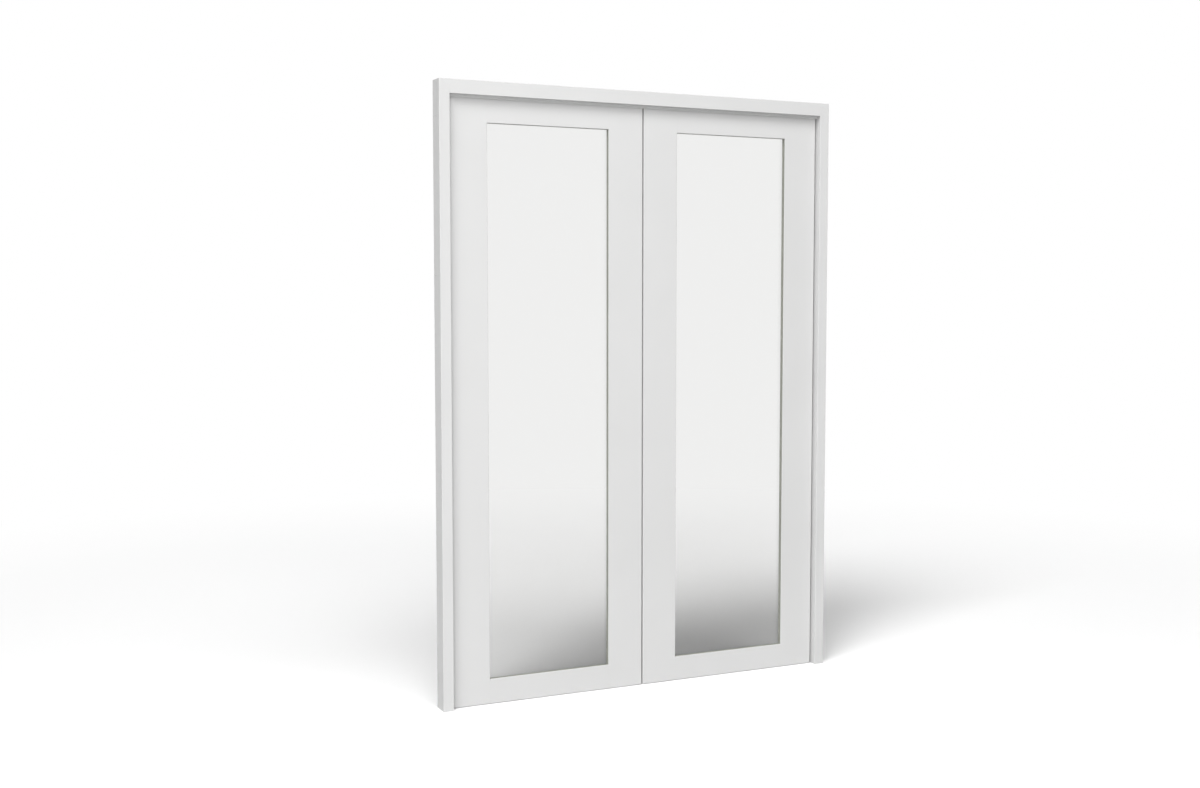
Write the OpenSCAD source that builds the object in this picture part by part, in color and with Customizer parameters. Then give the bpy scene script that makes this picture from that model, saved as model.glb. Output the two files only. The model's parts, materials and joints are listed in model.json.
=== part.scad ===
/* [Frame] */
// Overall width of the frame
frame_w = 1512; // [1200:1:2000]
// Overall height of the frame
frame_h = 2100; // [1980:1:2400]
// Width of a jamb's front face
jamb_w = 37; // [34:1:70]
// Height of the head's front face
head_h = 47; // [44:1:90]
// How far the jamb ends are housed up into the head
housing = 12; // [8:1:16]
// Depth of the bare reveal in front of the leaves
leaf_recess = 24; // [20:1:50]
// Radius of the sanded front edges of frame and leaves
arris = 1.5; // [0.5:0.5:3]

/* [Leaves] */
// Gap between a jamb and its leaf, which the closed hinge fills
side_gap = 7; // [6.5:0.5:9]
// Gap between the head and the leaves
top_gap = 6; // [4:0.5:8]
// Gap between the two leaves
meeting_gap = 5.5; // [5:0.5:8]
// Gap between the floor and the leaves
floor_gap = 2; // [1.5:0.5:12]
// Thickness of a leaf
leaf_t = 40; // [38:1:52]
// Width of a leaf's stiles
stile_w = 131; // [110:1:160]
// Height of the top rail
top_rail_h = 81; // [70:1:180]
// Height of the bottom rail
bottom_rail_h = 85; // [70:1:160]

/* [Glazing] */
// Thickness of the pane
glass_t = 6; // [4:1:8]
// Width of the rebate that holds the pane
rebate_w = 15; // [14:1:17]
// Space round the pane in its rebate
glass_space = 3; // [2:0.5:4]
// Thickness of the seal that lines the opening and beds the pane
seal_t = 1.2; // [0.8:0.1:2]
// Flat wood between the rounded edge of the opening and the seal let in behind it
seal_edge = 0.5; // [0.5:0.5:2]
// How far the beads behind the pane stay out of the opening
bead_inset = 4; // [2:0.5:5]
// Flat of a bead beside the pane
bead_flat = 2; // [1:0.5:5]
// How far a bead slopes down from its flat to its back
bead_slope = 8; // [4:0.5:8]
// Length of a setting block under the pane
block_l = 60; // [30:5:100]

/* [Joints in the woodwork] */
// Thickness of a rail's tenon
tenon_t = 12; // [8:1:16]
// Wood left between a top rail's tenon and the catch
tenon_wall = 14; // [10:1:30]
// Wood left beside the tenon at the outer edge of a rail
tenon_edge = 16; // [12:1:30]
// Clearance round a tenon in its mortise
tenon_clear = 0.2; // [0.1:0.1:0.5]

/* [Hinges] */
// Height of a hinge
hinge_h = 100; // [90:1:125]
// Width of a hinge plate inside the side gap
hinge_plate_w = 30; // [26:1:34]
// Thickness of a hinge plate
hinge_plate_t = 2.5; // [2:0.1:3]
// Radius of a hinge's knuckles
knuckle_r = 6.5; // [5.5:0.5:8]
// Radius of a hinge pin
pin_r = 3; // [2.5:0.1:3.5]
// Clearance between pin and knuckle
pin_clear = 0.05; // [0.03:0.01:0.1]
// Gap between neighbouring knuckles
knuckle_gap = 0.4; // [0.3:0.1:1]
// Gap between the knuckles and the back of the frame
knuckle_stand = 0.5; // [0.4:0.1:3]
// Height of the bottom hinge's middle above the leaf's bottom edge
hinge_low = 230; // [200:5:300]
// Depth of the top hinge's middle below the leaf's top edge
hinge_high = 180; // [160:5:250]
// Length of a hinge screw
hinge_screw_l = 28; // [20:1:30]

/* [Catches] */
// Distance of a catch from the leaf's meeting edge
catch_in = 60; // [45:1:62]
// Radius of a catch's barrel
barrel_r = 7; // [7:0.5:9]
// Length of a catch's barrel
barrel_l = 36; // [34:1:45]
// Radius of the sprung bullet
bullet_r = 4.5; // [4:0.1:4.6]
// Clearance of the bullet in its barrel
bullet_clear = 0.08; // [0.05:0.01:0.1]
// Gap between the bullet and the strike plate
bullet_gap = 0.3; // [0.2:0.1:1]
// How far the bullet can rise into the strike plate
bullet_rise = 2; // [1:0.5:3]
// Length of a strike plate
strike_l = 46; // [40:1:60]
// Width of a strike plate
strike_w = 22; // [18:1:30]
// Thickness of a strike plate
strike_t = 1.5; // [1:0.5:2]

/* [Head stop] */
// Height of the stop under the head
stop_h = 9; // [9:1:14]
// Thickness of the stop
stop_t = 5; // [4:1:16]
// Gap between the stop and the closed leaves
stop_clear = 0.5; // [0.3:0.1:2]

/* [Fixings] */
// Radius of the fixing holes through the jambs
fixing_r = 3; // [2.5:0.5:5]
// Distance of a jamb's end fixings from the floor and from the frame's top
fixing_end = 120; // [110:5:130]
// Distance from a jamb's end fixings to its inner ones
fixing_step = 520; // [480:10:600]
// Length of the screws that hold the head to the jambs
frame_screw_l = 95; // [70:5:100]

/* [Hidden] */
$fn = 48;
SIDES = ["left", "right"];
LEVELS = ["bottom", "middle", "top"];
EDGES = ["bottom", "top", "hinge", "meeting"];

PAINT = [0.94, 0.94, 0.93];
STEEL = [0.72, 0.72, 0.71];
SCREW_STEEL = [0.6, 0.6, 0.6];
SEAL_GREY = [0.52, 0.53, 0.48];
CLEAR_GLASS = [0.75, 0.82, 0.78, 0.35];
BLOCK_BLACK = [0.15, 0.15, 0.15];

// How far a cut runs past a surface
past = 1;

// Depth places: the origin lies midway between the frame's front and the knuckles' back
frame_d = leaf_recess + leaf_t;
pin_back = knuckle_r + knuckle_stand;
front_y = -(frame_d + pin_back + knuckle_r) / 2;
back_y = front_y + frame_d;
leaf_front_y = front_y + leaf_recess;
leaf_mid_y = leaf_front_y + leaf_t / 2;
glass_front_y = leaf_mid_y - glass_t / 2;
glass_back_y = leaf_mid_y + glass_t / 2;
lip_back_y = glass_front_y - seal_t;
seal_front_y = leaf_front_y + arris + seal_edge;

// Width places, all for the left leaf
jamb_x = -frame_w / 2 + jamb_w;
leaf_x = jamb_x + side_gap;
pane_x = leaf_x + stile_w;
meeting_x = -meeting_gap / 2;
pane_end_x = meeting_x - stile_w;
pane_w = pane_end_x - pane_x;

// Height places
head_z = frame_h - head_h;
leaf_top_z = head_z - top_gap;
pane_z = floor_gap + bottom_rail_h;
pane_top_z = leaf_top_z - top_rail_h;
pane_h = pane_top_z - pane_z;

// Tenon sizes
tenon_l = stile_w - catch_in - barrel_r - tenon_wall;
bottom_tenon_h = bottom_rail_h - rebate_w - tenon_edge;
top_tenon_h = top_rail_h - rebate_w - tenon_edge;

// Hinge places
pin_x = jamb_x + side_gap / 2;
pin_y = back_y + pin_back;
hinge_z = [floor_gap + hinge_low, (floor_gap + leaf_top_z) / 2, leaf_top_z - hinge_high];
jamb_knuckles = [0, 2, 4];
leaf_knuckles = [1, 3];
knuckle_h = (hinge_h - 4 * knuckle_gap) / 5;
pin_tip_r = knuckle_r - 1;
pin_tip_h = 3;

// Screw sizes: radius of the shank, radius of the head
hinge_screw = [2, 4];
frame_screw = [2.5, 5];
strike_screw = [1.5, 3];
strike_screw_l = 16;
screw_clear = 0.05;
hinge_screw_first = 12;
hinge_screw_second = 21;
frame_screw_in = 16;
strike_screw_in = 7;

// Catch places, for the left leaf
catch_x = meeting_x - catch_in;
flange_r = barrel_r + 3;
flange_t = 1.5;
mouth_t = 3;
barrel_floor = 2;
collar_r = bullet_r + 1;
collar_t = 3;
chamber_r = collar_r + bullet_clear;
collar_top_z = leaf_top_z - mouth_t - bullet_rise - bullet_gap;
bullet_top_z = head_z - bullet_gap;
spring_z = leaf_top_z - barrel_l + barrel_floor;
spring_h = collar_top_z - collar_t - spring_z;
strike_hole_r = bullet_r + 0.7;
hollow_h = strike_t + bullet_rise + 1;

// Spring: wire radius, coil radius, turns, steps round a turn and sides of the wire
wire_r = 0.5;
coil_r = chamber_r - wire_r - 0.4;
turns = 6;
turn_steps = 14;
wire_sides = 6;

// Draws one side's pieces where they lie: the right side mirrors the left
module on_side(side) {
    mirror([side == "right" ? 1 : 0, 0, 0]) children();
}

// What a square edge loses when it is rounded, for an edge at the origin of a block in +x, +y
module edge_loss() {
    difference() {
        translate([-past, -past]) square(arris + past);
        translate([arris, arris]) circle(arris);
    }
}

// Rounds an upright front edge: the block lies on the +x side, or on -x when flipped
module upright_round(x, y, z, l, flip = false) {
    translate([x, y, z]) mirror([flip ? 1 : 0, 0, 0])
        linear_extrude(l) edge_loss();
}

// Rounds a level front edge: the block lies above it, or below when flipped
module level_round(x, y, z, l, flip = false) {
    translate([x, y, z]) mirror([0, 0, flip ? 1 : 0])
        rotate([90, 0, 90]) linear_extrude(l) edge_loss();
}

// A countersunk screw that points down from its flat head at the origin
module screw(size, l) {
    r = size[0];
    head_r = size[1];
    difference() {
        rotate_extrude()
            polygon([[0, 0], [head_r, 0], [r, r - head_r], [r, 2 * r - l], [0, -l]]);
        for (turn = [0, 90])
            rotate([0, 0, turn])
            cube([head_r * 1.2, head_r * 0.25, head_r * 0.7], center = true);
    }
}

// The hole for such a screw, open at its head
module screw_hole(size, l) {
    r = size[0] + screw_clear;
    head_r = size[1] + screw_clear;
    rotate_extrude()
        polygon([[0, past], [head_r, past], [head_r, 0], [r, r - head_r], [r, -l], [0, -l]]);
}

// Places children at each screw of a hinge, heads facing +X
module at_hinge_screws(x, z) {
    for (row = [-1, 1])
        for (place = [[0.38, hinge_screw_first], [0.13, hinge_screw_second]])
            translate([x, back_y - place[1], z + row * place[0] * hinge_h])
            rotate([0, 90, 0]) children();
}

module at_jamb_screws(z) {
    at_hinge_screws(jamb_x + hinge_plate_t, z) children();
}

module at_leaf_screws(z) {
    translate([2 * pin_x, 0, 0]) mirror([1, 0, 0])
        at_hinge_screws(jamb_x + hinge_plate_t, z) children();
}

module at_frame_screws() {
    for (y = [front_y + frame_screw_in, back_y - frame_screw_in])
        translate([-frame_w / 2 + jamb_w / 2, y, frame_h]) children();
}

module at_strike_screws() {
    for (end = [-1, 1])
        translate([catch_x + end * (strike_l / 2 - strike_screw_in), leaf_mid_y, head_z])
        rotate([180, 0, 0]) children();
}

// A countersunk fixing hole through a jamb, opening towards the leaf
module fixing_hole() {
    sink = fixing_r + past;
    rotate([0, 90, 0]) {
        translate([0, 0, -jamb_w - past]) cylinder(r = fixing_r, h = jamb_w + 2 * past);
        translate([0, 0, -fixing_r]) cylinder(r1 = fixing_r, r2 = fixing_r + sink, h = sink);
    }
}

module jamb(side) {
    color(PAINT)
    on_side(side)
    difference() {
        translate([-frame_w / 2, front_y, 0]) cube([jamb_w, frame_d, head_z + housing]);
        upright_round(-frame_w / 2, front_y, -past, frame_h);
        upright_round(jamb_x, front_y, -past, head_z + past, flip = true);
        for (in = [fixing_end, fixing_end + fixing_step], z = [in, frame_h - in])
            translate([jamb_x, leaf_mid_y, z]) fixing_hole();
        for (z = hinge_z) at_jamb_screws(z) screw_hole(hinge_screw, hinge_screw_l);
        at_frame_screws() screw_hole(frame_screw, frame_screw_l);
    }
}

// The head sits over the jambs, which are housed into its ends
module head() {
    color(PAINT)
    difference() {
        translate([-frame_w / 2, front_y, head_z]) cube([frame_w, frame_d, head_h]);
        level_round(jamb_x, front_y, head_z, -2 * jamb_x);
        level_round(-frame_w / 2 - past, front_y, frame_h, frame_w + 2 * past, flip = true);
        for (s = SIDES)
            on_side(s) {
                translate([-frame_w / 2 - past, front_y - past, head_z - past])
                    cube([jamb_w + past, frame_d + 2 * past, housing + past]);
                upright_round(-frame_w / 2, front_y, head_z, head_h + past);
                at_frame_screws() screw_hole(frame_screw, frame_screw_l);
                strike_seat();
                at_strike_screws() screw_hole(strike_screw, strike_screw_l);
            }
    }
}

// The mortise for a strike plate, with the hollow that the bullet rises into
module strike_seat() {
    translate([catch_x - strike_l / 2, leaf_mid_y - strike_w / 2, head_z - past])
        cube([strike_l, strike_w, strike_t + past]);
    translate([catch_x, leaf_mid_y, head_z]) cylinder(r = strike_hole_r, h = hollow_h);
}

module strike_plate(side) {
    color(STEEL)
    on_side(side)
    difference() {
        translate([catch_x - strike_l / 2, leaf_mid_y - strike_w / 2, head_z])
            cube([strike_l, strike_w, strike_t]);
        translate([catch_x, leaf_mid_y, head_z - past])
            cylinder(r = strike_hole_r, h = strike_t + 2 * past);
        at_strike_screws() screw_hole(strike_screw, strike_screw_l);
    }
}

module head_stop() {
    color(PAINT)
    translate([jamb_x, leaf_front_y - stop_clear - stop_t, head_z - stop_h])
        cube([-2 * jamb_x, stop_t, stop_h]);
}

module frame_screws() {
    color(SCREW_STEEL)
    for (s = SIDES) on_side(s) at_frame_screws() screw(frame_screw, frame_screw_l);
}

module strike_screws() {
    color(SCREW_STEEL)
    for (s = SIDES) on_side(s) at_strike_screws() screw(strike_screw, strike_screw_l);
}

// A stile from its outer corner: glass side towards +X, rebated behind the lip
module stile_body() {
    difference() {
        translate([0, leaf_front_y, floor_gap]) cube([stile_w, leaf_t, leaf_top_z - floor_gap]);
        translate([stile_w - rebate_w, lip_back_y, floor_gap - past])
            cube([rebate_w + past, leaf_t, frame_h]);
        upright_round(0, leaf_front_y, 0, frame_h);
        upright_round(stile_w, leaf_front_y, pane_z, pane_h, flip = true);
        translate([stile_w - seal_t, seal_front_y, pane_z - seal_t])
            cube([seal_t + past, leaf_t, pane_h + 2 * seal_t]);
        for (seat = [[floor_gap + tenon_edge, bottom_tenon_h], [pane_top_z + rebate_w, top_tenon_h]])
            translate([stile_w - tenon_l - tenon_clear,
                       leaf_mid_y - tenon_t / 2 - tenon_clear,
                       seat[0] - tenon_clear])
            cube([tenon_l + tenon_clear + past, tenon_t + 2 * tenon_clear, seat[1] + 2 * tenon_clear]);
    }
}

module hinge_stile(side) {
    color(PAINT)
    on_side(side)
    difference() {
        translate([leaf_x, 0, 0]) stile_body();
        for (z = hinge_z) at_leaf_screws(z) screw_hole(hinge_screw, hinge_screw_l);
    }
}

module meeting_stile(side) {
    color(PAINT)
    on_side(side)
    difference() {
        translate([meeting_x, 0, 0]) mirror([1, 0, 0]) stile_body();
        translate([catch_x, leaf_mid_y, leaf_top_z]) {
            translate([0, 0, -barrel_l]) cylinder(r = barrel_r, h = barrel_l + past);
            translate([0, 0, -flange_t]) cylinder(r = flange_r, h = flange_t + past);
        }
    }
}

// A rail with its outer edge at z = 0 and its glass edge up: the front shoulders meet
// the stiles' lips, the back ones reach into the stiles' rebates
module rail_body(h, tenon_h) {
    difference() {
        translate([pane_x - rebate_w, leaf_front_y, 0])
            cube([pane_w + 2 * rebate_w, leaf_t, h]);
        for (x = [pane_x - rebate_w - past, pane_end_x])
            translate([x, leaf_front_y - past, -past])
            cube([rebate_w + past, lip_back_y - leaf_front_y + past, h + 2 * past]);
        translate([pane_x - rebate_w - past, lip_back_y, h - rebate_w])
            cube([pane_w + 2 * (rebate_w + past), leaf_t, rebate_w + past]);
        translate([pane_x - past, seal_front_y, h - seal_t])
            cube([pane_w + 2 * past, leaf_t, seal_t + past]);
        level_round(pane_x, leaf_front_y, h, pane_w, flip = true);
    }
    translate([pane_x - tenon_l, leaf_mid_y - tenon_t / 2, tenon_edge])
        cube([pane_w + 2 * tenon_l, tenon_t, tenon_h]);
}

module bottom_rail(side) {
    color(PAINT)
    on_side(side)
    translate([0, 0, floor_gap]) rail_body(bottom_rail_h, bottom_tenon_h);
}

module top_rail(side) {
    color(PAINT)
    on_side(side)
    translate([0, 0, leaf_top_z]) mirror([0, 0, 1]) rail_body(top_rail_h, top_tenon_h);
}

// A block as large as the glass opening, grown all round in its plane
module opening_block(grow, y, end_y) {
    translate([pane_x - grow, y, pane_z - grow])
        cube([pane_w + 2 * grow, end_y - y, pane_h + 2 * grow]);
}

module glass(side) {
    color(CLEAR_GLASS)
    on_side(side)
    opening_block(rebate_w - glass_space, glass_front_y, glass_back_y);
}

// One leg is let in flush round the opening, the other beds the pane on the lip
module glazing_seal(side) {
    color(SEAL_GREY)
    on_side(side)
    difference() {
        union() {
            opening_block(seal_t, seal_front_y, glass_front_y);
            opening_block(rebate_w - glass_space, lip_back_y, glass_front_y);
        }
        opening_block(0, leaf_front_y, glass_back_y);
    }
}

module setting_blocks(side) {
    color(BLOCK_BLACK)
    on_side(side)
    for (share = [0.25, 0.75])
        translate([pane_x + share * pane_w - block_l / 2, glass_front_y, pane_z - rebate_w])
        cube([block_l, glass_t, glass_space]);
}

// A mitred bead along +X whose outer edge is at z = 0 and whose pane side is at y = 0
module bead_strip(l) {
    d = back_y - glass_back_y;
    w = rebate_w - bead_inset;
    intersection() {
        rotate([90, 0, 90]) linear_extrude(l)
            polygon([[0, 0], [d, 0], [d, w - bead_slope], [bead_flat, w], [0, w]]);
        translate([0, d + past, 0]) rotate([90, 0, 0]) linear_extrude(d + 2 * past)
            polygon([[0, 0], [l, 0], [l - w, w], [w, w]]);
    }
}

module bead(edge, side) {
    low_z = pane_z - rebate_w;
    low_x = pane_x - rebate_w;
    color(PAINT)
    on_side(side)
    translate([0, glass_back_y, 0]) {
        if (edge == "bottom")
            translate([low_x, 0, low_z]) bead_strip(pane_w + 2 * rebate_w);
        if (edge == "top")
            translate([low_x, 0, pane_top_z + rebate_w]) mirror([0, 0, 1])
                bead_strip(pane_w + 2 * rebate_w);
        if (edge == "hinge")
            translate([low_x, 0, low_z]) mirror([1, 0, -1])
                bead_strip(pane_h + 2 * rebate_w);
        if (edge == "meeting")
            translate([pane_end_x + rebate_w, 0, low_z]) mirror([1, 0, 0]) mirror([1, 0, -1])
                bead_strip(pane_h + 2 * rebate_w);
    }
}

// Height of knuckle k's lower end on the hinge centred at z
function knuckle_z(z, k) = z - hinge_h / 2 + k * (knuckle_h + knuckle_gap);

// A hinge plate on the jamb side of the gap, with its own knuckles and room for the others
module hinge_plate(z, own, other) {
    difference() {
        union() {
            translate([jamb_x, back_y - hinge_plate_w, z - hinge_h / 2])
                cube([hinge_plate_t, hinge_plate_w + pin_back, hinge_h]);
            for (k = own)
                translate([pin_x, pin_y, knuckle_z(z, k)]) cylinder(r = knuckle_r, h = knuckle_h);
        }
        for (k = other)
            translate([pin_x, pin_y, knuckle_z(z, k) - knuckle_gap])
            cylinder(r = knuckle_r + knuckle_gap, h = knuckle_h + 2 * knuckle_gap);
        translate([pin_x, pin_y, z - hinge_h / 2 - past])
            cylinder(r = pin_r + pin_clear, h = hinge_h + 2 * past);
        at_jamb_screws(z) screw_hole(hinge_screw, hinge_screw_l);
    }
}

module jamb_plate(level, side) {
    color(STEEL)
    on_side(side) hinge_plate(hinge_z[level], jamb_knuckles, leaf_knuckles);
}

// The leaf's plate mirrors the jamb's about the pin
module leaf_plate(level, side) {
    color(STEEL)
    on_side(side)
    translate([2 * pin_x, 0, 0]) mirror([1, 0, 0])
        hinge_plate(hinge_z[level], leaf_knuckles, jamb_knuckles);
}

// A pin with a button tip on each end
module hinge_pin(level, side) {
    tip = [pin_tip_r, pin_tip_h];
    color(STEEL)
    on_side(side)
    translate([pin_x, pin_y, hinge_z[level] - hinge_h / 2])
        rotate_extrude()
        polygon([
            [0, -tip[1]], [tip[0] - 1, -tip[1]], [tip[0], 1 - tip[1]], [tip[0], 0], [pin_r, 0],
            [pin_r, hinge_h], [tip[0], hinge_h], [tip[0], hinge_h + tip[1] - 1],
            [tip[0] - 1, hinge_h + tip[1]], [0, hinge_h + tip[1]]
        ]);
}

module jamb_plate_screws() {
    color(SCREW_STEEL)
    for (s = SIDES, z = hinge_z)
        on_side(s) at_jamb_screws(z) screw(hinge_screw, hinge_screw_l);
}

module leaf_plate_screws(side) {
    color(SCREW_STEEL)
    on_side(side)
    for (z = hinge_z) at_leaf_screws(z) screw(hinge_screw, hinge_screw_l);
}

module catch_barrel(side) {
    color(STEEL)
    on_side(side)
    translate([catch_x, leaf_mid_y, leaf_top_z])
    difference() {
        union() {
            translate([0, 0, -barrel_l]) cylinder(r = barrel_r, h = barrel_l);
            translate([0, 0, -flange_t]) cylinder(r = flange_r, h = flange_t);
        }
        translate([0, 0, barrel_floor - barrel_l])
            cylinder(r = chamber_r, h = barrel_l - barrel_floor - mouth_t);
        translate([0, 0, -mouth_t - past])
            cylinder(r = bullet_r + bullet_clear, h = mouth_t + 2 * past);
    }
}

// The bullet is drawn pressed just clear of its strike plate
module catch_bullet(side) {
    foot_z = collar_top_z - collar_t;
    nose_z = bullet_top_z - bullet_r;
    color(STEEL)
    on_side(side)
    translate([catch_x, leaf_mid_y, 0])
        rotate_extrude() {
            translate([0, foot_z]) square([collar_r, collar_t]);
            translate([0, foot_z]) square([bullet_r, nose_z - foot_z]);
            intersection() {
                translate([0, nose_z]) circle(bullet_r);
                translate([0, nose_z - past]) square([bullet_r, bullet_r + 2 * past]);
            }
        }
}

// Points of the wire's ring at step i of the coil
function wire_ring(i) =
    let (
        turn = 360 * i / turn_steps,
        rise = wire_r + (spring_h - 2 * wire_r) * i / (turns * turn_steps)
    )
    [for (k = [0:wire_sides - 1])
        let (
            a = 360 * k / wire_sides,
            out = coil_r + wire_r * cos(a)
        )
        [out * cos(turn), out * sin(turn), rise + wire_r * sin(a)]];

// Faces that join the wire's ring i to the next
function wire_faces(i) =
    [for (k = [0:wire_sides - 1])
        let (
            a = i * wire_sides + k,
            b = i * wire_sides + (k + 1) % wire_sides
        )
        [a, b, b + wire_sides, a + wire_sides]];

module catch_spring(side) {
    rings = turns * turn_steps;
    color(SCREW_STEEL)
    on_side(side)
    translate([catch_x, leaf_mid_y, spring_z])
        polyhedron(
            points = [for (i = [0:rings]) each wire_ring(i)],
            faces = concat(
                [[for (k = [wire_sides - 1:-1:0]) k]],
                [for (i = [0:rings - 1]) each wire_faces(i)],
                [[for (k = [0:wire_sides - 1]) rings * wire_sides + k]]
            )
        );
}

jamb("left");  // jamb_left
jamb("right");  // jamb_right
head();
head_stop();
frame_screws();
jamb_plate_screws();
strike_screws();
for (s = SIDES) {
    hinge_stile(s);
    meeting_stile(s);
    top_rail(s);
    bottom_rail(s);
    glass(s);
    glazing_seal(s);
    setting_blocks(s);
    for (e = EDGES)
        bead(e, s);
    for (v = [0:2]) {
        jamb_plate(v, s);
        leaf_plate(v, s);
        hinge_pin(v, s);
    }
    leaf_plate_screws(s);
    catch_barrel(s);
    catch_bullet(s);
    catch_spring(s);
    strike_plate(s);
}
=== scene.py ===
"""French doors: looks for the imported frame, two glazed leaves in a flat white lining."""

import json
import math

import bmesh
import bpy
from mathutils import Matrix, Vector


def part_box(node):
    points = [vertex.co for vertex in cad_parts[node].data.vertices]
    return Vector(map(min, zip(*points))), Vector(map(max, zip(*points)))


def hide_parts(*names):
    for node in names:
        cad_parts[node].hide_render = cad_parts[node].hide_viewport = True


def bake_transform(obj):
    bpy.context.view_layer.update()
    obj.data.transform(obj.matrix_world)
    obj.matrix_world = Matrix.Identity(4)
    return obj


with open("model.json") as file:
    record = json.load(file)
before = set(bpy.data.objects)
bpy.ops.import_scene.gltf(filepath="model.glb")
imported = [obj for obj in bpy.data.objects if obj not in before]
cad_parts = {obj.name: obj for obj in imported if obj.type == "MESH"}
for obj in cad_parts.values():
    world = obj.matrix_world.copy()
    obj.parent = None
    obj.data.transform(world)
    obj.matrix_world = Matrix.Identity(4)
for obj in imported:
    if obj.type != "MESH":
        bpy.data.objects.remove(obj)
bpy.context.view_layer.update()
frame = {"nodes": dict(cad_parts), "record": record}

# Camera, in metres and degrees: left of the doors' middle, turned right, looking slightly down
CAMERA_PLACE = (-2.2686, -4.5220, 1.3983)
CAMERA_TURN = 25.0
CAMERA_DIP = 4.0
LENS_MM = 42.86
SENSOR_MM = 36.0

# Light: the world's even glow, its wide glows with the direction of each and its strength, and
# how quickly these fall off to the sides
WORLD_GLOW = 0.03
WIDE_GLOWS = {
    "front_glow": ((0.0, -1.0, 0.0), 0.30),
    "top_glow": ((0.0, 0.0, 1.0), 0.05),
}
GLOW_FALL = 2.0

# Broad soft lights far away: degrees to the left of the front and above the floor that each comes
# from, its breadth and its strength
SOFT_LIGHTS = {
    "main_light": (54.0, 44.0, 24.0, 1.82),
    "upper_light": (28.0, 50.0, 34.0, 0.68),
    "right_light": (-17.0, 54.0, 28.0, 0.63),
    "back_light": (180.0, 14.0, 70.0, 0.20),
    "low_back_light": (180.0, 2.0, 4.0, 2.25),
    "low_side_light": (-90.0, 2.0, 4.0, 1.35),
    "low_front_light": (32.0, 5.0, 14.0, 0.20),
}
SOFT_LIGHT_PLACE = (0.0, 0.0, 3.0)

# Soft boxes near by: place, the point that each faces, its side and its power
SOFT_BOXES = {
    "high_box": ((-1.2, -3.5, 4.1), (0.0, 0.0, 1.2), 1.6, 58.0),
    "low_box": ((-2.0, -3.0, 0.9), (0.0, 0.0, 1.7), 1.5, 16.0),
    "far_box": ((-3.6, -5.8, 0.6), (0.0, 0.0, 1.5), 1.0, 50.0),
}

# Floor: its colour to the camera, how much light it sends back to the doors, and the ring
# (inner and outer radius) over which it turns into the white of the background
FLOOR_SIDE = 80.0
FLOOR_SHOWN = 1.0
FLOOR_BOUNCE = 0.40
WHITE_RING = (2.3, 5.2)

# Colours, in linear light
WHITE = (1.0, 1.0, 1.0, 1.0)
PAINT_LIGHT = (0.620, 0.620, 0.618, 1.0)
PAINT_DEEP = (0.601, 0.601, 0.598, 1.0)
PAINT_WORN = (0.560, 0.556, 0.545, 1.0)
GLASS_TINT = (0.859, 0.859, 0.853, 1.0)
SEAL_LIGHT = (0.315, 0.320, 0.285, 1.0)
SEAL_DEEP = (0.270, 0.275, 0.240, 1.0)
STEEL_LIGHT = (0.60, 0.595, 0.58, 1.0)
STEEL_DEEP = (0.50, 0.495, 0.482, 1.0)
ZINC_LIGHT = (0.56, 0.57, 0.57, 1.0)
ZINC_DEEP = (0.44, 0.45, 0.46, 1.0)
BLOCK_LIGHT = (0.030, 0.030, 0.030, 1.0)
BLOCK_DEEP = (0.018, 0.018, 0.018, 1.0)

# The middle part of a noise's values, over which colours and roughness go from end to end
NOISE_START = 0.3
NOISE_END = 0.7

# Paint: refraction, roughness from shiniest to dullest, and how many of its clouds and patches of
# sheen there are to a metre
PAINT_IOR = 1.46
PAINT_ROUGHNESS = (0.36, 0.46)
PAINT_CLOUDS = 3.0
PAINT_SHEEN = 40.0

# Paint's relief: number to a metre, depth in metres and strength of grain and of orange peel, the
# width of the grain as a share of its length, and the pieces in which it stands upright
GRAIN_LINES = 260.0
GRAIN_DEPTH = 0.0001
GRAIN_STRENGTH = 0.16
GRAIN_STRETCH = 0.03
PEEL_DIMPLES = 700.0
PEEL_DEPTH = 0.0002
PEEL_STRENGTH = 0.20
UPRIGHT_PIECES = ("jamb_", "hinge_stile_", "meeting_stile_", "bead_hinge_", "bead_meeting_")

# Edges: radius of the painted ones, how far the thinned paint reaches, the turn of the surface at
# which it starts and is complete, its patches to a metre, and the radius of metal edges
PAINT_EDGE = 0.0008
WEAR_REACH = 0.0012
WEAR_START = 0.995
WEAR_END = 0.80
WEAR_PATCHES = 35.0
METAL_EDGE = 0.0003
EDGE_SAMPLES = 6

# Glass: refraction, roughness and waves to a metre
GLASS_IOR = 1.5
GLASS_ROUGHNESS = (0.0, 0.012)
GLASS_WAVES = 1.5

# Seal and setting blocks: roughness, number to a metre of the marks that colour them and of the
# seal's grain, and the depth and strength of their relief
SEAL_ROUGHNESS = (0.55, 0.72)
SEAL_BLOOM = 60.0
SEAL_GRAIN = 1500.0
BLOCK_ROUGHNESS = (0.45, 0.6)
BLOCK_GRAIN = 400.0
MOULDED_DEPTH = 0.0001
MOULDED_STRENGTH = 0.2

# Metals by slot: name, light and deep colour, roughness, stretch of the marks along each axis and
# their number to a metre
METALS = {
    "hinge_steel": ("satin_hinge_steel", STEEL_LIGHT, STEEL_DEEP, 0.30, (1.0, 1.0, 0.03), 2600.0),
    "catch_steel": ("turned_catch_steel", STEEL_LIGHT, STEEL_DEEP, 0.26, (0.1, 0.1, 1.0), 1500.0),
    "spring_steel": ("bright_spring_wire", STEEL_LIGHT, STEEL_DEEP, 0.22, (1.0, 1.0, 1.0), 900.0),
    "screw_steel": ("zinc_plated_steel", ZINC_LIGHT, ZINC_DEEP, 0.34, (1.0, 1.0, 1.0), 500.0),
}
SHINIER = 0.06
DULLER = 0.08
SCRATCH_DEPTH = 0.00005
SCRATCH_STRENGTH = 0.15

# Catch springs, in metres: radius of the wire, turns, rise of a closed end turn, steps round a
# turn and sides of the wire
WIRE_RADIUS = 0.0005
SPRING_TURNS = 7.5
CLOSED_RISE = 0.0013
TURN_STEPS = 40
WIRE_SIDES = 12


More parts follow.
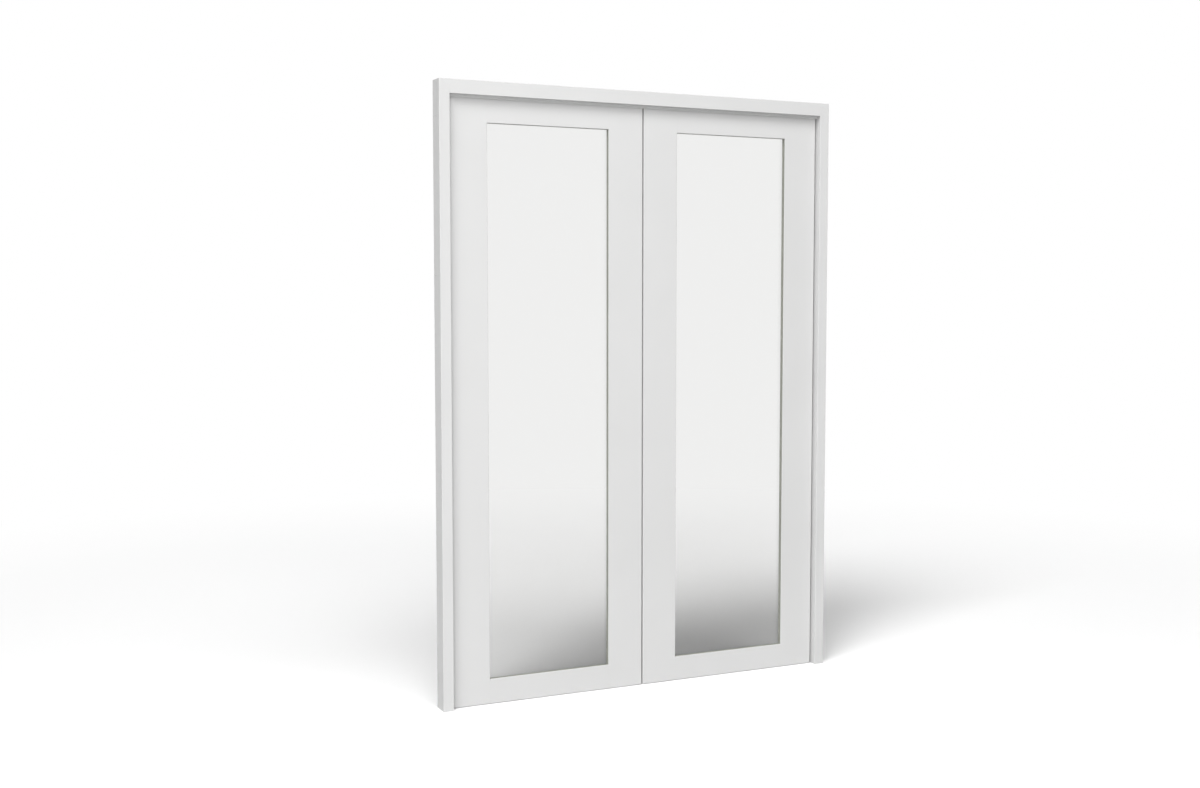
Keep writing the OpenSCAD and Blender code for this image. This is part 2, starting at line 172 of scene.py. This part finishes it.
def new_material(name):
    """A material with an empty node tree and its output"""
    material = bpy.data.materials.new(name)
    material.use_nodes = True
    tree = material.node_tree
    tree.nodes.clear()
    output = tree.nodes.new("ShaderNodeOutputMaterial")
    return material, tree, output


def noise(tree, scale, detail=3.0, stretch=(1.0, 1.0, 1.0)):
    """Noise in the model's own metres, stretched along an axis where stretch is small"""
    place = tree.nodes.new("ShaderNodeTexCoord")
    mapping = tree.nodes.new("ShaderNodeMapping")
    mapping.inputs["Scale"].default_value = stretch
    texture = tree.nodes.new("ShaderNodeTexNoise")
    texture.inputs["Scale"].default_value = scale
    texture.inputs["Detail"].default_value = detail
    tree.links.new(place.outputs["Object"], mapping.inputs["Vector"])
    tree.links.new(mapping.outputs["Vector"], texture.inputs["Vector"])
    return texture.outputs["Fac"]


def ramp(tree, factor, low, high):
    """Colour that goes from low to high with the factor"""
    node = tree.nodes.new("ShaderNodeValToRGB")
    node.color_ramp.elements[0].position = NOISE_START
    node.color_ramp.elements[0].color = low
    node.color_ramp.elements[1].position = NOISE_END
    node.color_ramp.elements[1].color = high
    tree.links.new(factor, node.inputs["Fac"])
    return node.outputs["Color"]


def spread(tree, factor, low, high):
    """A number that goes from low to high with the factor"""
    node = tree.nodes.new("ShaderNodeMapRange")
    node.inputs["From Min"].default_value = NOISE_START
    node.inputs["From Max"].default_value = NOISE_END
    node.inputs["To Min"].default_value = low
    node.inputs["To Max"].default_value = high
    tree.links.new(factor, node.inputs["Value"])
    return node.outputs["Result"]


def bump(tree, height, depth, strength, normal=None):
    """A bump of the given depth in metres"""
    node = tree.nodes.new("ShaderNodeBump")
    node.inputs["Strength"].default_value = strength
    node.inputs["Distance"].default_value = depth
    tree.links.new(height, node.inputs["Height"])
    if normal is not None:
        tree.links.new(normal, node.inputs["Normal"])
    return node.outputs["Normal"]


def soft_edges(tree, radius):
    """Normals that turn smoothly over each sharp edge"""
    node = tree.nodes.new("ShaderNodeBevel")
    node.samples = EDGE_SAMPLES
    node.inputs["Radius"].default_value = radius
    return node.outputs["Normal"]


def worn_edges(tree):
    """0 on flat faces, up to 1 along sharp edges, broken up where the wear skips"""
    true_normal = tree.nodes.new("ShaderNodeNewGeometry").outputs["Normal"]
    turn = tree.nodes.new("ShaderNodeVectorMath")
    turn.operation = "DOT_PRODUCT"
    edge = tree.nodes.new("ShaderNodeMapRange")
    edge.inputs["From Min"].default_value = WEAR_START
    edge.inputs["From Max"].default_value = WEAR_END
    edge.inputs["To Max"].default_value = 1.0
    patchy = tree.nodes.new("ShaderNodeMath")
    patchy.operation = "MULTIPLY"
    tree.links.new(soft_edges(tree, WEAR_REACH), turn.inputs[0])
    tree.links.new(true_normal, turn.inputs[1])
    tree.links.new(turn.outputs["Value"], edge.inputs["Value"])
    tree.links.new(edge.outputs["Result"], patchy.inputs[0])
    patches = spread(tree, noise(tree, WEAR_PATCHES, 4.0), 0.1, 1.0)
    tree.links.new(patches, patchy.inputs[1])
    return patchy.outputs[0]


def blend_colours(tree, share, first, second):
    """The first colour, turning into the second as the share goes from 0 to 1"""
    node = tree.nodes.new("ShaderNodeMix")
    node.data_type = "RGBA"
    start, end = [socket for socket in node.inputs if socket.type == "RGBA"]
    tree.links.new(share, node.inputs[0])
    tree.links.new(first, start)
    end.default_value = second
    return next(socket for socket in node.outputs if socket.type == "RGBA")


def painted_timber(name, along):
    """Sprayed satin paint on timber whose grain runs along one axis: a faint cloudiness, a trace
    of orange peel over the last of the grain, and edges where the paint has thinned"""
    material, tree, output = new_material(name)
    shader = tree.nodes.new("ShaderNodeBsdfPrincipled")
    shader.inputs["IOR"].default_value = PAINT_IOR
    paint = ramp(tree, noise(tree, PAINT_CLOUDS, 2.0), PAINT_DEEP, PAINT_LIGHT)
    colour = blend_colours(tree, worn_edges(tree), paint, PAINT_WORN)
    tree.links.new(colour, shader.inputs["Base Color"])
    sheen = spread(tree, noise(tree, PAINT_SHEEN), *PAINT_ROUGHNESS)
    tree.links.new(sheen, shader.inputs["Roughness"])
    stretch = tuple(GRAIN_STRETCH if axis == along else 1.0 for axis in "xyz")
    lines = noise(tree, GRAIN_LINES, 3.0, stretch)
    grain = bump(tree, lines, GRAIN_DEPTH, GRAIN_STRENGTH, soft_edges(tree, PAINT_EDGE))
    peel = bump(tree, noise(tree, PEEL_DIMPLES, 2.0), PEEL_DEPTH, PEEL_STRENGTH, grain)
    tree.links.new(peel, shader.inputs["Normal"])
    tree.links.new(shader.outputs["BSDF"], output.inputs["Surface"])
    return material


def clear_glass():
    """Float glass with a slight tint"""
    material, tree, output = new_material("clear_float_glass")
    shader = tree.nodes.new("ShaderNodeBsdfPrincipled")
    shader.inputs["Base Color"].default_value = GLASS_TINT
    shader.inputs["IOR"].default_value = GLASS_IOR
    shader.inputs["Transmission Weight"].default_value = 1.0
    waves = noise(tree, GLASS_WAVES, 1.0)
    tree.links.new(spread(tree, waves, *GLASS_ROUGHNESS), shader.inputs["Roughness"])
    tree.links.new(shader.outputs["BSDF"], output.inputs["Surface"])
    return material


def rubber_seal():
    """Matt olive-grey extruded seal with a dusty bloom"""
    material, tree, output = new_material("olive_grey_seal")
    shader = tree.nodes.new("ShaderNodeBsdfPrincipled")
    bloom = noise(tree, SEAL_BLOOM, 4.0)
    tree.links.new(ramp(tree, bloom, SEAL_DEEP, SEAL_LIGHT), shader.inputs["Base Color"])
    tree.links.new(spread(tree, bloom, *SEAL_ROUGHNESS), shader.inputs["Roughness"])
    grain = bump(tree, noise(tree, SEAL_GRAIN, 2.0), MOULDED_DEPTH, MOULDED_STRENGTH)
    tree.links.new(grain, shader.inputs["Normal"])
    tree.links.new(shader.outputs["BSDF"], output.inputs["Surface"])
    return material


def metal(name, light, deep, rough, stretch, scale):
    """A drawn or plated metal: fine marks along one direction, uneven shine"""
    material, tree, output = new_material(name)
    shader = tree.nodes.new("ShaderNodeBsdfPrincipled")
    shader.inputs["Metallic"].default_value = 1.0
    marks = noise(tree, scale, 4.0, stretch)
    tree.links.new(ramp(tree, marks, deep, light), shader.inputs["Base Color"])
    shine = spread(tree, marks, rough - SHINIER, rough + DULLER)
    tree.links.new(shine, shader.inputs["Roughness"])
    edges = soft_edges(tree, METAL_EDGE)
    scratches = bump(tree, marks, SCRATCH_DEPTH, SCRATCH_STRENGTH, edges)
    tree.links.new(scratches, shader.inputs["Normal"])
    tree.links.new(shader.outputs["BSDF"], output.inputs["Surface"])
    return material


def setting_block():
    """Black moulded plastic"""
    material, tree, output = new_material("black_setting_block")
    shader = tree.nodes.new("ShaderNodeBsdfPrincipled")
    grain = noise(tree, BLOCK_GRAIN)
    tree.links.new(ramp(tree, grain, BLOCK_DEEP, BLOCK_LIGHT), shader.inputs["Base Color"])
    tree.links.new(spread(tree, grain, *BLOCK_ROUGHNESS), shader.inputs["Roughness"])
    relief = bump(tree, grain, MOULDED_DEPTH, MOULDED_STRENGTH)
    tree.links.new(relief, shader.inputs["Normal"])
    tree.links.new(shader.outputs["BSDF"], output.inputs["Surface"])
    return material


def dress_nodes():
    """Gives each node the material of its slot, and paint whose grain runs along the piece"""
    upright_paint = painted_timber("satin_white_paint_upright", "z")
    by_slot = {
        "white_paint": painted_timber("satin_white_paint_level", "x"),
        "glass": clear_glass(),
        "seal": rubber_seal(),
        "setting_block": setting_block(),
    }
    for slot, finish in METALS.items():
        by_slot[slot] = metal(*finish)
    for part in frame["record"]["subparts"]:
        material = by_slot[part["material_slot"]]
        painted = part["material_slot"] == "white_paint"
        if painted and part["node"].startswith(UPRIGHT_PIECES):
            material = upright_paint
        node = frame["nodes"][part["node"]]
        node.data.materials.clear()
        node.data.materials.append(material)


def spring_path(low, high):
    """Centres of the wire from the bottom of a box to its top, with a closed turn at each end"""
    across, along = (low[0] + high[0]) / 2, (low[1] + high[1]) / 2
    middle = Vector((across, along, low[2] + WIRE_RADIUS))
    coil = (high[0] - low[0]) / 2 - WIRE_RADIUS
    open_turns = SPRING_TURNS - 2
    open_rise = (high[2] - low[2] - 2 * WIRE_RADIUS - 2 * CLOSED_RISE) / open_turns
    points = []
    for step in range(int(SPRING_TURNS * TURN_STEPS) + 1):
        turn = step / TURN_STEPS
        closed = min(turn, 1.0) + max(turn - 1 - open_turns, 0.0)
        opened = min(max(turn - 1, 0.0), open_turns)
        angle = math.tau * turn
        rise = closed * CLOSED_RISE + opened * open_rise
        reach = Vector((coil * math.cos(angle), coil * math.sin(angle), rise))
        points.append(middle + reach)
    return middle, points


def wind_spring(name, low, high):
    """A compression spring of round wire that fills the given box"""
    middle, points = spring_path(low, high)
    shape = bmesh.new()
    rings = []
    for number, point in enumerate(points):
        along = points[min(number + 1, len(points) - 1)] - points[max(number - 1, 0)]
        outward = Vector((point.x - middle.x, point.y - middle.y, 0.0)).normalized()
        up = along.normalized().cross(outward)
        ring = []
        for side in range(WIRE_SIDES):
            angle = math.tau * side / WIRE_SIDES
            reach = outward * math.cos(angle) + up * math.sin(angle)
            ring.append(shape.verts.new(point + WIRE_RADIUS * reach))
        rings.append(ring)
    for first, second in zip(rings, rings[1:]):
        for side in range(WIRE_SIDES):
            after = (side + 1) % WIRE_SIDES
            shape.faces.new((first[side], first[after], second[after], second[side]))
    shape.faces.new(rings[0])
    shape.faces.new(rings[-1])
    bmesh.ops.recalc_face_normals(shape, faces=shape.faces)
    mesh = bpy.data.meshes.new(name)
    shape.to_mesh(mesh)
    shape.free()
    for face in mesh.polygons:
        face.use_smooth = len(face.vertices) == 4
    spring = bpy.data.objects.new(name, mesh)
    bpy.context.scene.collection.objects.link(spring)
    return spring


def build_springs():
    """The springs of the catches: a wound wire spring fills the box of each catch's spring part,
    which is then hidden
    """
    for side in ("left", "right"):
        node = "catch_spring_" + side
        low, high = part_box(node)
        spring = wind_spring("wound_spring_" + side, low, high)
        spring.data.materials.append(frame["nodes"][node].data.materials[0])
        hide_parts(node)
        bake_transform(spring)


def build_camera():
    """The photograph's view"""
    data = bpy.data.cameras.new("camera")
    data.lens = LENS_MM
    data.sensor_width = SENSOR_MM
    camera = bpy.data.objects.new("camera", data)
    camera.location = CAMERA_PLACE
    camera.rotation_euler = (math.radians(90.0 - CAMERA_DIP), 0.0, math.radians(-CAMERA_TURN))
    bpy.context.scene.collection.objects.link(camera)
    bpy.context.scene.camera = camera


def calculate(tree, operation, first, second):
    """One step of arithmetic on a number that varies"""
    step = tree.nodes.new("ShaderNodeMath")
    step.operation = operation
    tree.links.new(first, step.inputs[0])
    if isinstance(second, float):
        step.inputs[1].default_value = second
    else:
        tree.links.new(second, step.inputs[1])
    return step.outputs[0]


def seen_directly(tree):
    """1 for rays from the camera, a mirror or through glass, and 0 for light that bounces"""
    path = tree.nodes.new("ShaderNodeLightPath")
    total = path.outputs["Is Camera Ray"]
    for name in ("Is Glossy Ray", "Is Transmission Ray"):
        total = calculate(tree, "MAXIMUM", total, path.outputs[name])
    return total


def world_light(tree):
    """The world's light: even from all sides, and stronger round each wide glow's direction"""
    place = tree.nodes.new("ShaderNodeTexCoord")
    total = WORLD_GLOW
    for direction, strength in WIDE_GLOWS.values():
        facing = tree.nodes.new("ShaderNodeVectorMath")
        facing.operation = "DOT_PRODUCT"
        facing.inputs[1].default_value = direction
        tree.links.new(place.outputs["Generated"], facing.inputs[0])
        glow = calculate(tree, "MAXIMUM", facing.outputs["Value"], 0.0)
        glow = calculate(tree, "POWER", glow, GLOW_FALL)
        glow = calculate(tree, "MULTIPLY", glow, strength)
        total = calculate(tree, "ADD", glow, total)
    return total


def build_world():
    """White behind everything, and a glow as light"""
    world = bpy.data.worlds.new("world")
    world.use_nodes = True
    tree = world.node_tree
    tree.nodes.clear()
    output = tree.nodes.new("ShaderNodeOutputWorld")
    shown = tree.nodes.new("ShaderNodeBackground")
    glow = tree.nodes.new("ShaderNodeBackground")
    for light in (shown, glow):
        light.inputs["Color"].default_value = WHITE
    shown.inputs["Strength"].default_value = 1.0
    tree.links.new(world_light(tree), glow.inputs["Strength"])
    mix = tree.nodes.new("ShaderNodeMixShader")
    tree.links.new(seen_directly(tree), mix.inputs["Fac"])
    tree.links.new(glow.outputs["Background"], mix.inputs[1])
    tree.links.new(shown.outputs["Background"], mix.inputs[2])
    tree.links.new(mix.outputs["Shader"], output.inputs["Surface"])
    bpy.context.scene.world = world


def build_floor():
    """A plain white floor that keeps the doors' shadow and runs out into the white background"""
    bpy.ops.mesh.primitive_plane_add(size=FLOOR_SIDE, location=(0.0, 0.0, 0.0))
    floor = bpy.context.object
    floor.name = "floor"
    material, tree, output = new_material("white_floor")
    near = tree.nodes.new("ShaderNodeBsdfDiffuse")
    far = tree.nodes.new("ShaderNodeEmission")
    bounced = tree.nodes.new("ShaderNodeBsdfDiffuse")
    near.inputs["Color"].default_value = (FLOOR_SHOWN, FLOOR_SHOWN, FLOOR_SHOWN, 1.0)
    far.inputs["Color"].default_value = WHITE
    bounced.inputs["Color"].default_value = (FLOOR_BOUNCE, FLOOR_BOUNCE, FLOOR_BOUNCE, 1.0)
    place = tree.nodes.new("ShaderNodeTexCoord")
    reach = tree.nodes.new("ShaderNodeVectorMath")
    reach.operation = "LENGTH"
    ring = tree.nodes.new("ShaderNodeMapRange")
    ring.interpolation_type = "SMOOTHSTEP"
    ring.inputs["From Min"].default_value = WHITE_RING[0]
    ring.inputs["From Max"].default_value = WHITE_RING[1]
    shown = tree.nodes.new("ShaderNodeMixShader")
    mix = tree.nodes.new("ShaderNodeMixShader")
    tree.links.new(place.outputs["Object"], reach.inputs[0])
    tree.links.new(reach.outputs["Value"], ring.inputs["Value"])
    tree.links.new(ring.outputs["Result"], shown.inputs["Fac"])
    tree.links.new(near.outputs["BSDF"], shown.inputs[1])
    tree.links.new(far.outputs["Emission"], shown.inputs[2])
    tree.links.new(seen_directly(tree), mix.inputs["Fac"])
    tree.links.new(bounced.outputs["BSDF"], mix.inputs[1])
    tree.links.new(shown.outputs["Shader"], mix.inputs[2])
    tree.links.new(mix.outputs["Shader"], output.inputs["Surface"])
    floor.data.materials.append(material)


def place_lamp(name, data, place, turn):
    """A lamp that lights the doors but is never seen, mirrored or looked through at"""
    lamp = bpy.data.objects.new(name, data)
    lamp.location = place
    lamp.rotation_euler = turn
    lamp.visible_camera = False
    lamp.visible_glossy = False
    lamp.visible_transmission = False
    bpy.context.scene.collection.objects.link(lamp)


def build_lights():
    """The soft lights from afar and the soft boxes near by"""
    for name, (left, above, breadth, strength) in SOFT_LIGHTS.items():
        data = bpy.data.lights.new(name, "SUN")
        data.angle = math.radians(breadth)
        data.energy = strength
        turn = (math.radians(90.0 - above), 0.0, math.radians(-left))
        place_lamp(name, data, SOFT_LIGHT_PLACE, turn)
    for name, (place, aim, side, power) in SOFT_BOXES.items():
        data = bpy.data.lights.new(name, "AREA")
        data.size = side
        data.energy = power
        across, along, rise = (a - p for a, p in zip(aim, place))
        level = math.hypot(across, along)
        turn = (math.atan2(level, -rise), 0.0, math.atan2(-across, along))
        place_lamp(name, data, place, turn)


bpy.context.scene.view_settings.view_transform = "Standard"
build_camera()
dress_nodes()
build_springs()
build_world()
build_floor()
build_lights()
